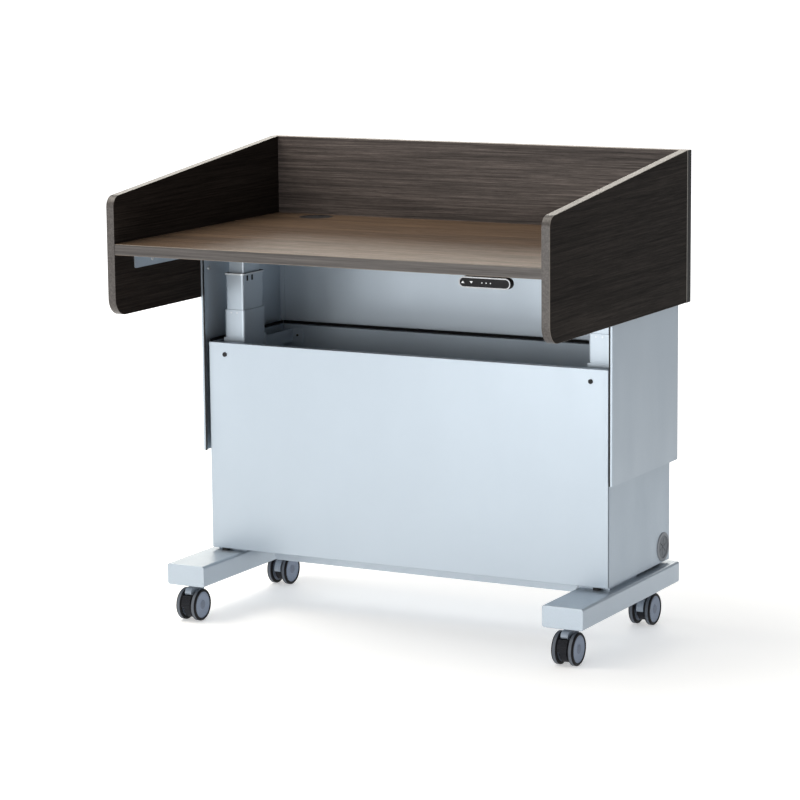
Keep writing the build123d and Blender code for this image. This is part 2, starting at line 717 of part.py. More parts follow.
def inner_tube(side, label):
    """Top stage: the tube and the head plate that is bolted under the worktop."""
    x = side * COLUMN_X
    walls = tube(side, INNER_SIZE, INNER_R, INNER_BOTTOM, UNDER_Z)
    with BuildPart() as piece:
        add(walls)
        half_x, half_y = HEAD_PLATE[0] / 2, HEAD_PLATE[1] / 2
        low_z = UNDER_Z - HEAD_PLATE_T
        slab((x - half_x, COLUMN_Y - half_y, low_z), (x + half_x, COLUMN_Y + half_y, UNDER_Z))
        for bolt_x, bolt_y in bolt_points(side, HEAD_BOLT_SPACING):
            rod((bolt_x, bolt_y, low_z), (0, 0, 1), M6_R, HEAD_PLATE_T, mode=Mode.SUBTRACT)
    finish(piece, label)


def spindle_nut(side):
    """Nut carrier at the foot of the inner tube, which also guides it in the middle tube."""
    x = side * COLUMN_X
    size = [length - 2 * RUN for length in bore_of(MIDDLE_SIZE)]
    low_z = INNER_BOTTOM - CARRIER_T
    with BuildPart() as piece:
        with BuildSketch(Plane.XY.offset(low_z)):
            with Locations((x, COLUMN_Y)):
                RectangleRounded(*size, MIDDLE_R - TUBE_WALL)
        extrude(amount=CARRIER_T)
        rod((x, COLUMN_Y, low_z), (0, 0, 1), SPINDLE_R + RUN, CARRIER_T, mode=Mode.SUBTRACT)
    return piece.part


def spindle(side, label):
    """Lifting screw: a plain journal in the gearbox, a collar and the long shaft."""
    x = side * COLUMN_X
    with BuildPart() as piece:
        rod((x, COLUMN_Y, SPINDLE_BOTTOM), (0, 0, 1), JOURNAL_R, GEARBOX_TOP - SPINDLE_BOTTOM + JOURNAL_PROUD)
        shaft_low = GEARBOX_TOP + SHAFT_GAP
        rod((x, COLUMN_Y, shaft_low), (0, 0, 1), SPINDLE_R, SPINDLE_TOP - shaft_low)
        chamfer(piece.edges().filter_by(GeomType.CIRCLE).sort_by(Axis.Z)[-1], SHAFT_END)
    finish(piece, label)


def gearbox(side):
    """Worm gearbox in the foot of the outer tube, with a snout out through its window."""
    x = side * COLUMN_X
    half_x, half_y = GEARBOX_SIZE[0] / 2, GEARBOX_SIZE[1] / 2
    half = SNOUT / 2
    with BuildPart() as piece:
        slab((x - half_x, COLUMN_Y - half_y, BASE_TOP), (x + half_x, COLUMN_Y + half_y, GEARBOX_TOP))
        slab(
            (x, COLUMN_Y - half, DRIVE_Z - half),
            (x - side * (half_x + SNOUT_REACH), COLUMN_Y + half, DRIVE_Z + half - SNOUT_CUT),
        )
        bore_low = SPINDLE_BOTTOM - BORE_CLEARANCE
        bore_length = GEARBOX_TOP - bore_low
        rod((x, COLUMN_Y, bore_low), (0, 0, 1), JOURNAL_R + RUN, bore_length, mode=Mode.SUBTRACT)
    return piece.part


def drive_motor(side):
    """Round motor on the end of the gearbox snout, with a narrower end cap."""
    start_x = side * (COLUMN_X - GEARBOX_SIZE[0] / 2 - SNOUT_REACH)
    with BuildPart() as piece:
        rod((start_x, COLUMN_Y, DRIVE_Z), (-side, 0, 0), MOTOR_R, MOTOR_LENGTH)
        end_x = start_x - side * MOTOR_LENGTH
        fillet(piece.edges().filter_by(GeomType.CIRCLE), MOTOR_ROUND)
        rod((end_x, COLUMN_Y, DRIVE_Z), (-side, 0, 0), MOTOR_R / 2, MOTOR_CAP)
    return piece.part


def column_bolt(x, y):
    """Hexagon bolt through the base plate into the foot."""
    with BuildPart() as piece:
        with BuildSketch(Plane.XY.offset(BASE_TOP)):
            with Locations((x, y)):
                RegularPolygon(BOLT_HEAD_R, 6)
        extrude(amount=BOLT_HEAD_T)
        rod((x, y, BASE_TOP), (0, 0, -1), M8_R, BASE_PLATE_T + FOOT_WALL + BOLT_REACH)
    return piece.part


# ---------------------------------------------------------------- desktop


def worktop():
    """Flat board between the side panels, with the hole for the cable grommet."""
    front = FRONT + TOP_SETBACK
    with BuildPart() as piece:
        slab((-SIDE_INNER, front, UNDER_Z), (SIDE_INNER, BACK_FACE, TOP_Z))
        fillet(piece.edges().filter_by(Axis.X).group_by(Axis.Y)[0], BOARD_ROUND)
        rod((*DESK_GROMMET, UNDER_Z), (0, 0, 1), DESK_HOLE_R, TOP_T, mode=Mode.SUBTRACT)
        rod((*DESK_GROMMET, TOP_Z), (0, 0, -1), DESK_FLANGE_R, GROMMET_RIM, mode=Mode.SUBTRACT)
        for side in (-1, 1):
            for x, y in bolt_points(side, HEAD_BOLT_SPACING):
                rod((x, y, UNDER_Z), (0, 0, 1), M6_R, HEAD_BOLT_DEPTH, mode=Mode.SUBTRACT)
    finish(piece, "worktop")


def side_panel(side, label):
    """Side board with a sloped top edge and two rounded front corners."""
    with BuildPart() as piece:
        with BuildSketch(side_plane(SIDE_INNER if side > 0 else -WIDTH / 2)) as outline:
            Polygon(
                (FRONT, SIDE_BOTTOM), (BACK_FACE, SIDE_BOTTOM), (BACK_FACE, HEIGHT),
                (FRONT, SIDE_FRONT_Z), align=None,
            )
            corners = outline.vertices().group_by(Axis.X)[0].sort_by(Axis.Y)
            fillet(corners[0], BOTTOM_CORNER_R)
            fillet(outline.vertices().group_by(Axis.X)[0].sort_by(Axis.Y)[-1], TOP_CORNER_R)
        extrude(amount=SIDE_T)
        front_half = [edge for edge in piece.edges() if edge.center().Y < BACK_FACE - 1]
        rim = [edge for edge in front_half if abs(edge.center().X - side * SIDE_INNER) > SIDE_T / 2]
        fillet(rim, BOARD_ROUND)
        for y in ANGLE_SCREW_Y:
            start = (side * SIDE_INNER, y, ANGLE_SCREW_Z)
            rod(start, (side, 0, 0), M5_R, ANGLE_SCREW_DEPTH, mode=Mode.SUBTRACT)
        for y in SHROUD_SCREW_Y:
            start = (side * SIDE_INNER, y, SHROUD_SCREW_Z)
            rod(start, (side, 0, 0), M5_R, ANGLE_SCREW_DEPTH, mode=Mode.SUBTRACT)
    finish(piece, label)


def back_panel():
    """Back board across the whole width, standing above the worktop."""
    half = WIDTH / 2
    with BuildPart() as piece:
        slab((-half, BACK_FACE, SIDE_BOTTOM), (half, BACK, HEIGHT))
        fillet(piece.edges().filter_by(Axis.Z), BOARD_ROUND)
        fillet(piece.faces().sort_by(Axis.Z)[-1].edges().filter_by(Axis.X), BOARD_ROUND)
    finish(piece, "back_panel")


def side_shroud(side, label):
    """Folded side sheet: lips along its front and rear edges and under the worktop."""
    outer, inner = SIDE_INNER, SIDE_INNER - SHEET
    rear = BACK_FACE - SHEET
    with BuildPart() as piece:
        slab((side * inner, SHROUD_FRONT, SHROUD_BOTTOM), (side * outer, rear, UNDER_Z))
        fillet(piece.edges().filter_by(Axis.Z).group_by(Axis.Y)[0].sort_by(Axis.X)[SHROUD_EDGE[side]],
               SHEET_ROUND)
        slab(
            (side * inner, SHROUD_FRONT, SHROUD_BOTTOM),
            (side * (outer - SHROUD_LIP), SHROUD_FRONT + SHEET, UNDER_Z),
        )
        slab(
            (side * inner, rear - SHEET, SHROUD_BOTTOM),
            (side * (outer - SHROUD_REAR_LIP), rear, UNDER_Z),
        )
        slab(
            (side * inner, SHROUD_FRONT + SHROUD_TOP_LIP, UNDER_Z - SHEET),
            (side * (outer - SHROUD_TOP_LIP), rear - SHROUD_TOP_LIP, UNDER_Z),
        )
        for y in SHROUD_SCREW_Y:
            rod((side * inner, y, SHROUD_SCREW_Z), (side, 0, 0), M5_R, SHEET, mode=Mode.SUBTRACT)
    finish(piece, label)


def rear_shroud():
    """Flat rear sheet in front of the back panel, with a lip under the worktop."""
    rear = BACK_FACE
    with BuildPart() as piece:
        slab((-SIDE_INNER, rear - SHEET, SHROUD_BOTTOM), (SIDE_INNER, rear, UNDER_Z))
        top_x = SIDE_INNER - 2 * SHROUD_TOP_LIP
        slab(
            (-top_x, rear - SHROUD_TOP_LIP, UNDER_Z - SHEET),
            (top_x, rear - SHEET, UNDER_Z),
        )
    finish(piece, "rear_shroud")


def angle_bracket(side):
    """Steel angle that joins the worktop to a side panel."""
    outer = side * SIDE_INNER
    low_z = UNDER_Z - ANGLE_LEG
    with BuildPart() as piece:
        slab((outer, ANGLE_FRONT, low_z), (outer - side * ANGLE_T, ANGLE_BACK, UNDER_Z))
        slab((outer, ANGLE_FRONT, UNDER_Z - ANGLE_T), (outer - side * ANGLE_LEG, ANGLE_BACK, UNDER_Z))
        fillet(piece.edges().filter_by(Axis.X).group_by(Axis.Z)[0], ANGLE_ROUND)
        for y in ANGLE_SCREW_Y:
            start = (outer - side * ANGLE_T, y, ANGLE_SCREW_Z)
            rod(start, (side, 0, 0), M5_R, ANGLE_T, mode=Mode.SUBTRACT)
    return piece.part


def board_screw(side, y, z, thickness):
    """Screw through an angle or a shroud of this thickness into the side panel."""
    start = (side * (SIDE_INNER - thickness), y, z)
    with BuildPart() as piece:
        screw(start, (side, 0, 0), BOARD_SCREW, thickness + ANGLE_SCREW_DEPTH)
    return piece.part


def head_bolt(x, y):
    """Screw up through the head plate into the worktop."""
    start = (x, y, UNDER_Z - HEAD_PLATE_T)
    with BuildPart() as piece:
        screw(start, (0, 0, 1), HEAD_BOLT, HEAD_PLATE_T + HEAD_BOLT_DEPTH)
    return piece.part


# ---------------------------------------------------------------- grommets


def desk_grommet_ring():
    """Flanged ring let into the worktop, with a ledge for the cap."""
    low_z = UNDER_Z + GROMMET_RIM
    with BuildPart() as piece:
        rod((*DESK_GROMMET, low_z), (0, 0, 1), DESK_HOLE_R, TOP_Z - low_z)
        rod((*DESK_GROMMET, TOP_Z), (0, 0, -1), DESK_FLANGE_R, GROMMET_RIM)
        fillet(piece.edges().filter_by(GeomType.CIRCLE).sort_by(Axis.Z)[-1], FLUSH_ROUND)
        rod((*DESK_GROMMET, low_z), (0, 0, 1), DESK_BORE_R - LEDGE, TOP_T, mode=Mode.SUBTRACT)
        rod((*DESK_GROMMET, CAP_Z), (0, 0, 1), DESK_BORE_R, TOP_T, mode=Mode.SUBTRACT)
    finish(piece, "desk_grommet_ring")


def desk_grommet_cap():
    """Round cap that turns on the ring's ledge, with a notch for cables."""
    x, y = DESK_GROMMET
    with BuildPart() as piece:
        rod((x, y, CAP_Z + CAP_LIFT), (0, 0, 1), DESK_BORE_R - RUN, CAP_T)
        fillet(piece.edges().filter_by(GeomType.CIRCLE).sort_by(Axis.Z)[-1], CAP_ROUND)
        with BuildSketch(Plane.XY.offset(CAP_Z)):
            with Locations((x, y + DESK_BORE_R)):
                SlotCenterToCenter(*NOTCH, rotation=90)
        extrude(amount=2 * CAP_T, mode=Mode.SUBTRACT)
    finish(piece, "desk_grommet_cap")


def side_grommet_ring():
    """Flanged ring in the cabinet's right wall."""
    start = (CABINET_X - SHEET - SIDE_RING_DEPTH, *SIDE_GROMMET)
    length = SIDE_RING_DEPTH + SHEET
    with BuildPart() as piece:
        rod(start, (1, 0, 0), SIDE_HOLE_R, length)
        rod((CABINET_X, *SIDE_GROMMET), (1, 0, 0), SIDE_FLANGE_R, GROMMET_RIM)
        fillet(piece.edges().filter_by(GeomType.CIRCLE).sort_by(Axis.X)[-1], RIM_ROUND)
        rod(start, (1, 0, 0), SIDE_BORE_R, length + GROMMET_RIM, mode=Mode.SUBTRACT)
    finish(piece, "side_grommet_ring")


def side_grommet_diaphragm():
    """Rubber disc cut into six flaps by three crossed slits."""
    y, z = SIDE_GROMMET
    low_x = CABINET_X - DIAPHRAGM_T
    with BuildPart() as piece:
        rod((low_x, y, z), (1, 0, 0), SIDE_BORE_R, DIAPHRAGM_T)
        with BuildSketch(side_plane(low_x)):
            with Locations((y, z)):
                for angle in SLIT_ANGLES:
                    Rectangle(2 * (SIDE_BORE_R - SLIT_END), SLIT, rotation=angle)
        extrude(amount=DIAPHRAGM_T, mode=Mode.SUBTRACT)
    finish(piece, "side_grommet_diaphragm")


# ---------------------------------------------------------------- handset


def handset_body():
    """Pill-shaped housing under the front edge, with a shallow pocket for the buttons."""
    front = FRONT + BEZEL_T
    with BuildPart() as piece:
        with BuildSketch(front_plane(front)):
            with Locations((HANDSET_X, HANDSET_Z)):
                SlotOverall(HANDSET_LENGTH, HANDSET_HEIGHT)
        extrude(amount=-HANDSET_DEPTH)
        fillet(piece.faces().sort_by(Axis.Y)[-1].edges(), HANDSET_ROUND)
        with BuildSketch(front_plane(front)):
            with Locations((HANDSET_X, HANDSET_Z)):
                inner = [size - 2 * (BEZEL_WIDTH + POCKET_MARGIN) for size in (HANDSET_LENGTH, HANDSET_HEIGHT)]
                SlotOverall(*inner)
        extrude(amount=-(BUTTON_STEM + POCKET_SPARE), mode=Mode.SUBTRACT)
        half = HANDSET_LENGTH / 4
        slab(
            (HANDSET_X - half, front + HANGER_INSET, HANDSET_Z + HANDSET_HEIGHT / 2 - HANGER_SINK),
            (HANDSET_X + half, front + HANDSET_DEPTH - HANGER_INSET, UNDER_Z),
        )
    finish(piece, "handset_body")


def handset_bezel():
    """Bright ring round the handset's face."""
    with BuildPart() as piece:
        with BuildSketch(front_plane(FRONT + BEZEL_T)):
            with Locations((HANDSET_X, HANDSET_Z)):
                SlotOverall(HANDSET_LENGTH, HANDSET_HEIGHT)
                inner = [size - 2 * BEZEL_WIDTH for size in (HANDSET_LENGTH, HANDSET_HEIGHT)]
                SlotOverall(*inner, mode=Mode.SUBTRACT)
        extrude(amount=BEZEL_T)
        fillet(piece.faces().sort_by(Axis.Y)[0].outer_wire().edges(), BEZEL_ROUND)
    finish(piece, "handset_bezel")


def handset_face():
    """Black face inside the ring, with two button windows and three indicator dots."""
    with BuildPart() as piece:
        with BuildSketch(front_plane(FRONT + BEZEL_T)):
            with Locations((HANDSET_X, HANDSET_Z)):
                inner = [size - 2 * BEZEL_WIDTH for size in (HANDSET_LENGTH, HANDSET_HEIGHT)]
                SlotOverall(*inner)
            with Locations([(x, HANDSET_Z) for x in BUTTON_X]):
                window = [size + 2 * BUTTON_GAP for size in BUTTON_SIZE]
                RectangleRounded(*window, BUTTON_CORNER + BUTTON_GAP, mode=Mode.SUBTRACT)
        extrude(amount=FACE_T)
        for x in DOT_X:
            rod((x, FRONT + BEZEL_T - FACE_T, HANDSET_Z), (0, -1, 0), DOT_R, DOT_T)
    finish(piece, "handset_face")


def button(x, label):
    """Rounded key cap with a wider foot behind the face."""
    back = FRONT + BEZEL_T
    with BuildPart() as piece:
        with BuildSketch(front_plane(back + BUTTON_STEM)):
            with Locations((x, HANDSET_Z)):
                RectangleRounded(*BUTTON_SIZE, BUTTON_CORNER)
        extrude(amount=BUTTON_STEM + FACE_T + BUTTON_GAP)
        fillet(piece.faces().sort_by(Axis.Y)[0].edges(), BUTTON_EDGE)
        with BuildSketch(front_plane(back + BUTTON_STEM / 2)):
            with Locations((x, HANDSET_Z)):
                RectangleRounded(*[size + 2 * BUTTON_LIP for size in BUTTON_SIZE], BUTTON_CORNER)
        extrude(amount=BUTTON_STEM / 2 - BUTTON_GAP)
    finish(piece, label)


foot(-1, "left_foot")
foot(1, "right_foot")
group("caster_stems", [caster_stem(side * FOOT_X, y) for side in (-1, 1) for y in CASTER_Y])
for row, y in zip(("front", "rear"), CASTER_Y):
    for hand, side in SIDES:
        at_rear = row == "rear"
        caster_fork(side * FOOT_X, y, f"{row}_{hand}_fork", shield=at_rear)
        caster_hood(side * FOOT_X, y, f"{row}_{hand}_hood", HOOD_BEHIND_SHIELD if at_rear else HOOD_R)
        caster_wheels(side * FOOT_X, y, f"{row}_{hand}_wheels")
for hand, side in SIDES:
    brake_pedal(side * FOOT_X, CASTER_Y[0], f"front_{hand}_pedal")

lower_front_panel()
lower_rear_panel()
bottom_tray()
control_box()
power_inlet()
group("panel_spacers", [panel_spacer(side * FOOT_X, y) for side in (-1, 1) for y in SPACER_Y])
stay_ends = (
    (COLUMN_Y - OUTER_SIZE[1] / 2, CABINET_FRONT + SHEET),
    (COLUMN_Y + OUTER_SIZE[1] / 2, CABINET_BACK - SHEET),
)
group("panel_stays", [panel_stay(side * COLUMN_X, *ends) for side in (-1, 1) for ends in stay_ends])
front_screws = [panel_screw(side * COLUMN_X, CABINET_FRONT, SCREW_Z, 1) for side in (-1, 1)]
rear_screws = [panel_screw(x, CABINET_BACK, z, -1) for x, z in REAR_SCREWS]
group("panel_screws", front_screws + rear_screws)

group("gearboxes", [gearbox(side) for side in (-1, 1)])
group("drive_motors", [drive_motor(side) for side in (-1, 1)])
group("outer_glides", [outer_glide(side) for side in (-1, 1)])
group("spindle_nuts", [spindle_nut(side) for side in (-1, 1)])
base_points = [point for side in (-1, 1) for point in bolt_points(side, BASE_BOLT_SPACING)]
group("column_bolts", [column_bolt(x, y) for x, y in base_points])
for hand, side in SIDES:
    lower_side_panel(side, f"lower_{hand}_panel")
    outer_tube(side, f"{hand}_outer_tube")
    middle_tube(side, f"{hand}_middle_tube")
    middle_collar(side, f"{hand}_middle_collar")
    inner_tube(side, f"{hand}_inner_tube")
    spindle(side, f"{hand}_spindle")
    side_panel(side, f"{hand}_side_panel")
    side_shroud(side, f"{hand}_shroud")

worktop()
back_panel()
rear_shroud()
group("angle_brackets", [angle_bracket(side) for side in (-1, 1)])
angle_screws = [
    board_screw(side, y, ANGLE_SCREW_Z, ANGLE_T) for side in (-1, 1) for y in ANGLE_SCREW_Y
]
shroud_screws = [
    board_screw(side, y, SHROUD_SCREW_Z, SHEET) for side in (-1, 1) for y in SHROUD_SCREW_Y
]
head_points = [point for side in (-1, 1) for point in bolt_points(side, HEAD_BOLT_SPACING)]
head_bolts = [head_bolt(x, y) for x, y in head_points]
group("desktop_screws", angle_screws + shroud_screws + head_bolts)
desk_grommet_ring()
desk_grommet_cap()
side_grommet_ring()
side_grommet_diaphragm()
handset_body()
handset_bezel()
handset_face()
for name, x in zip(("up_button", "down_button"), BUTTON_X):
    button(x, name)
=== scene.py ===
import math

import bpy
from mathutils import Matrix, Vector


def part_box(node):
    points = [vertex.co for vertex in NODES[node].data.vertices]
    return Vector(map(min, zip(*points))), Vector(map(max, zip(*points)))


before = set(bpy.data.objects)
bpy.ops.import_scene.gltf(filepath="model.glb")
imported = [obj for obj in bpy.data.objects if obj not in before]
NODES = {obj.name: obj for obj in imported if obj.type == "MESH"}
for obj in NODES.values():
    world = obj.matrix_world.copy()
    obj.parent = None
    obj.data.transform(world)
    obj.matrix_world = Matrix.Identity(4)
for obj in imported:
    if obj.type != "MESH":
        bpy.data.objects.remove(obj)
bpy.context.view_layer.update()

# Layers of the laminate's grain: scale across, scale along, noise detail and noise roughness
BANDS = (11.0, 0.9, 4.0, 0.6)
GRAIN = (230.0, 3.4, 7.0, 0.78)
THREADS = (800.0, 16.0, 4.0, 0.65)
PORES = (1700.0, 60.0, 2.0, 0.6)

# The grain's slow sway to one side: scale across and along, and how far it goes in metres
SWAY_SCALE = (3.0, 0.8)
SWAY_REACH = 0.02

# Colours of the boards: stops along the bands for their faces, and along the grain for their edges
FACE_TONES = (
    (0.30, (0.036, 0.028, 0.024)),
    (0.52, (0.052, 0.041, 0.035)),
    (0.70, (0.070, 0.056, 0.048)),
)
EDGE_TONES = ((0.36, (0.045, 0.039, 0.036)), (0.62, (0.120, 0.107, 0.101)))
# Painted highlight along the boards' rounded corners: its colour, and how strongly it shows
CORNER_HIGHLIGHT = (0.42, 0.38, 0.33)
CORNER_HIGHLIGHT_STRENGTH = 3.6
DARK_END = (0.006, 0.006, 0.006)
# Painted highlight on the back board's ends, where they meet the side boards
JOINT_HIGHLIGHT = (0.34, 0.32, 0.30)

# Colours of the other materials, and how metallic the silver ones are
COAT_TINT = (0.43, 0.494, 0.56)
# Coat for the cabinet's panels, darker than the shrouds' coat as painted shade
CABINET_SHADED_TINT = (0.41, 0.475, 0.542)
# Black painted shade for gaps and slots in the powder coat
PAINTED_SHADE_BLACK = (0.006, 0.006, 0.007)
PLASTIC_DARK = (0.008, 0.008, 0.009)
PLASTIC_PALE = (0.02, 0.02, 0.022)
HUB_TINT = (0.19, 0.22, 0.28)
RIM_TINT = (0.26, 0.305, 0.39)
TYRE_DARK = (0.004, 0.004, 0.005)
TYRE_PALE = (0.009, 0.009, 0.011)
TREAD_TINT = (0.105, 0.118, 0.14)
GLOSS_TINT = (0.004, 0.004, 0.005)
INK_DARK = (0.62, 0.64, 0.66)
INK_PALE = (0.78, 0.80, 0.82)
SILVER = (0.62, 0.66, 0.70)
SILVER_METAL = 0.6

# Width of the painted highlight on the back board's ends, beside the side boards, in metres as all
# sizes below
JOINT_HIGHLIGHT_WIDTH = 0.003

# Shrouds: the front lip's width, and how wide and deep the black painted shadow along its inboard
# edge is
LIP_WIDTH = 0.009
SHADOW_WIDTH = 0.0038
SHADOW_DEPTH = 0.0025

# Zone of a middle tube's wall that holds its glide slots: the zone's middle below the tube's top,
# its half height and half width, and the depths in the wall where it starts and ends
SLOT_DROP = 0.0085
SLOT_HALF_HEIGHT = 0.008
SLOT_HALF_WIDTH = 0.031
WALL_SKIN = 0.0002
WALL_DEPTH = 0.006

# Glide pins: how far their silver ends reach back from the collar's front
PIN_REACH = 0.0025

# Casters: radii about the axle, each wheel's middle from its pair's, and the tread band's half width
HUB_R = 0.0105
RIM_R = 0.0306
TREAD_R = 0.0366
WHEEL_MIDDLE = 0.0195
TREAD_HALF = 0.0034

# Handset's marks: the arrows' half width and height, and the dots' places along the face, from its
# middle, and their radius
ARROW_HALF_WIDTH = 0.0038
ARROW_HEIGHT = 0.0046
DOT_STEPS = (-0.006, 0.004, 0.014)
DOT_R = 0.0013

# Edges sharper than this stay sharp when the faces are smoothed
SHARP_ANGLE = math.radians(32)

# Floor: it glows more with distance from the desk, and less towards the right of the picture,
# as if a dark screen stood there
FLOOR_HALF = 40.0
FLOOR_DARK = (0.86, 0.86, 0.86)
FLOOR_PALE = (0.89, 0.89, 0.89)
GLOW_REACH = (0.8, 5.0)
GLOW = (0.40, 0.95)
SCREEN_FACING = (0.936, 0.353, 0.0)
SCREEN_REACH = (1.1, 3.0)
SCREEN_GLOW = 0.3

# Lights: place, the point they face, width, height, power in watts and tint
WARM = (1.0, 0.94, 0.84)
PLAIN = (1.0, 0.985, 0.955)
LIGHTS = {
    "overhead": ((-1.4, -0.6, 3.3), (0, 0, 0.6), 2.6, 2.6, 104, WARM),
    "front_left": ((-2.8, -4.6, 1.5), (0, 0, 0.6), 3.0, 2.4, 12, PLAIN),
    "front": ((-0.3, -5.2, 1.1), (0, 0, 0.7), 3.4, 1.6, 95, PLAIN),
    "behind": ((-1.9, 5.0, 2.4), (0, 0, 0.9), 5.0, 1.7, 86, WARM),
}
SKY_TINT = (0.94, 0.97, 1.0)
SKY_STRENGTH = 0.40

# Camera: its place, its turns in degrees, its lens and sensor in millimetres, and how far it sees
CAMERA_PLACE = (3.26031, -6.13378, 1.70612)
CAMERA_YAW = 28.06
CAMERA_PITCH = 9.57
CAMERA_ROLL = -0.52
CAMERA_LENS = 138.27
CAMERA_SENSOR = 36.0
CAMERA_REACH = 200.0


def centre_of(node):
    """Middle of a CAD node's box, in metres."""
    low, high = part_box(node)
    return (Vector(low) + Vector(high)) / 2


def scaled(tint, factor):
    """A colour made darker or paler."""
    return tuple(min(1.0, channel * factor) for channel in tint)


# ---------------------------------------------------------------- shader helpers


class Shader:
    """A material with one Principled surface, and short calls for the nodes that feed it."""

    # A Mix node's sockets for colours, which share their names with those for numbers and vectors
    MIX_INPUTS = (6, 7)
    MIX_OUTPUT = 2

    def __init__(self, name, **sockets):
        self.material = bpy.data.materials.new(name)
        self.material.use_nodes = True
        self.tree = self.material.node_tree
        self.surface = self.tree.nodes["Principled BSDF"]
        for socket, value in sockets.items():
            self.surface.inputs[socket.replace("_", " ")].default_value = value
        self.space = self.add("ShaderNodeTexCoord").outputs["Object"]

    def add(self, kind, **settings):
        """One node, with its settings."""
        node = self.tree.nodes.new(kind)
        for key, value in settings.items():
            setattr(node, key, value)
        return node

    def feed(self, socket, value):
        """A value or another node's output goes into a socket."""
        if isinstance(value, bpy.types.NodeSocket):
            self.tree.links.new(value, socket)
        else:
            socket.default_value = value

    def place(self, scale, vector=None):
        """The object's own coordinates, or another vector, scaled."""
        node = self.add("ShaderNodeMapping", vector_type="POINT")
        self.feed(node.inputs["Vector"], vector or self.space)
        node.inputs["Scale"].default_value = scale
        return node.outputs["Vector"]

    def noise(self, vector, detail, rough=0.55):
        """Noise from 0 to 1 over a vector."""
        node = self.add("ShaderNodeTexNoise")
        self.feed(node.inputs["Vector"], vector)
        node.inputs["Scale"].default_value = 1.0
        node.inputs["Detail"].default_value = detail
        node.inputs["Roughness"].default_value = rough
        return node.outputs["Fac"]

    def even_noise(self, scale, detail):
        """Noise with the same scale along every axis."""
        return self.noise(self.place((scale, scale, scale)), detail)

    def ramp(self, value, stops, smooth=False):
        """Colours, or greys for single numbers, along a value."""
        node = self.add("ShaderNodeValToRGB")
        node.color_ramp.interpolation = "EASE" if smooth else "LINEAR"
        while len(node.color_ramp.elements) < len(stops):
            node.color_ramp.elements.new(0.5)
        for element, (place, colour) in zip(node.color_ramp.elements, stops):
            element.position = place
            grey = isinstance(colour, (int, float))
            element.color = (colour, colour, colour, 1) if grey else (*colour, 1)
        self.feed(node.inputs["Fac"], value)
        return node.outputs["Color"]

    def mix(self, amount, first, second, blend="MIX"):
        """Two colours mixed or blended."""
        node = self.add("ShaderNodeMix", data_type="RGBA", blend_type=blend)
        self.feed(node.inputs[0], amount)
        for place, value in zip(self.MIX_INPUTS, (first, second)):
            self.feed(node.inputs[place], (*value, 1) if isinstance(value, tuple) else value)
        return node.outputs[self.MIX_OUTPUT]

    def shade(self, colour, value, greys, share=1.0):
        """A colour multiplied by a share of the greys along a value."""
        return self.mix(share, colour, self.ramp(value, greys), "MULTIPLY")

    def math(self, operation, first, second=0.0):
        """Arithmetic on single numbers."""
        node = self.add("ShaderNodeMath", operation=operation)
        for socket, value in zip(node.inputs, (first, second)):
            self.feed(socket, value)
        return node.outputs[0]

    def product(self, first, *others):
        """Values multiplied together."""
        for other in others:
            first = self.math("MULTIPLY", first, other)
        return first

    def flip(self, value):
        """1 minus a value."""
        return self.math("SUBTRACT", 1.0, value)

    def apart(self, value, place=0.0):
        """Distance of a value from a place, on either side of it."""
        return self.math("ABSOLUTE", self.math("SUBTRACT", value, place))

    def split(self, vector=None):
        """X, Y and Z of a vector, or of the object's own coordinates."""
        node = self.add("ShaderNodeSeparateXYZ")
        self.feed(node.inputs[0], vector or self.space)
        return node.outputs

    def vector_math(self, operation, first, second=None, output="Vector"):
        """Arithmetic on vectors."""
        node = self.add("ShaderNodeVectorMath", operation=operation)
        self.feed(node.inputs[0], first)
        if second is not None:
            self.feed(node.inputs[1], second)
        return node.outputs[output]

    def bump(self, height, depth, strength):
        """Relief from a height, chained onto the surface's normal."""
        node = self.add("ShaderNodeBump")
        node.inputs["Strength"].default_value = strength
        node.inputs["Distance"].default_value = depth
        self.feed(node.inputs["Height"], height)
        before = self.surface.inputs["Normal"]
        if before.is_linked:
            self.feed(node.inputs["Normal"], before.links[0].from_socket)
        self.feed(before, node.outputs["Normal"])

    def facing(self, axis):
        """How far a face points along an axis, either way, from 0 to 1."""
        normal = self.split(self.add("ShaderNodeNewGeometry").outputs["Normal"])
        return self.math("ABSOLUTE", normal["XYZ".index(axis)])

    def radius(self, centre, axis="X"):
        """Distance from a line that runs along an axis through a point."""
        offset = self.vector_math("SUBTRACT", self.space, centre)
        across = [0.0 if name == axis else 1.0 for name in "XYZ"]
        flat = self.vector_math("MULTIPLY", offset, across)
        return self.vector_math("LENGTH", flat, output="Value")

    def fade(self, value, reach, levels):
        """A straight change between two levels over a value's reach, and level outside it."""
        node = self.add("ShaderNodeMapRange")
        self.feed(node.inputs["Value"], value)
        sockets = ("From Min", "From Max", "To Min", "To Max")
        for socket, limit in zip(sockets, (*reach, *levels)):
            node.inputs[socket].default_value = limit
        return node.outputs["Result"]

    def above(self, value, edge, blend=0.0002):
        """0 below an edge and 1 above it, with a short blend between."""
        return self.fade(value, (edge - blend, edge + blend), (0.0, 1.0))

    def below(self, value, edge, blend=0.0002):
        """1 below an edge and 0 above it, with a short blend between."""
        return self.flip(self.above(value, edge, blend))

    def colour(self, value):
        """The surface's colour."""
        self.feed(self.surface.inputs["Base Color"], value)

    def roughness(self, value, first, last):
        """The surface's roughness, from one stop of a value to another."""
        self.feed(self.surface.inputs["Roughness"], self.ramp(value, [first, last]))

    def metal(self, mask, metallic):
        """The surface's metallic share, which fades out in a mask."""
        self.feed(self.surface.inputs["Metallic"], self.ramp(mask, [(0, metallic), (1, 0)]))


# ---------------------------------------------------------------- materials


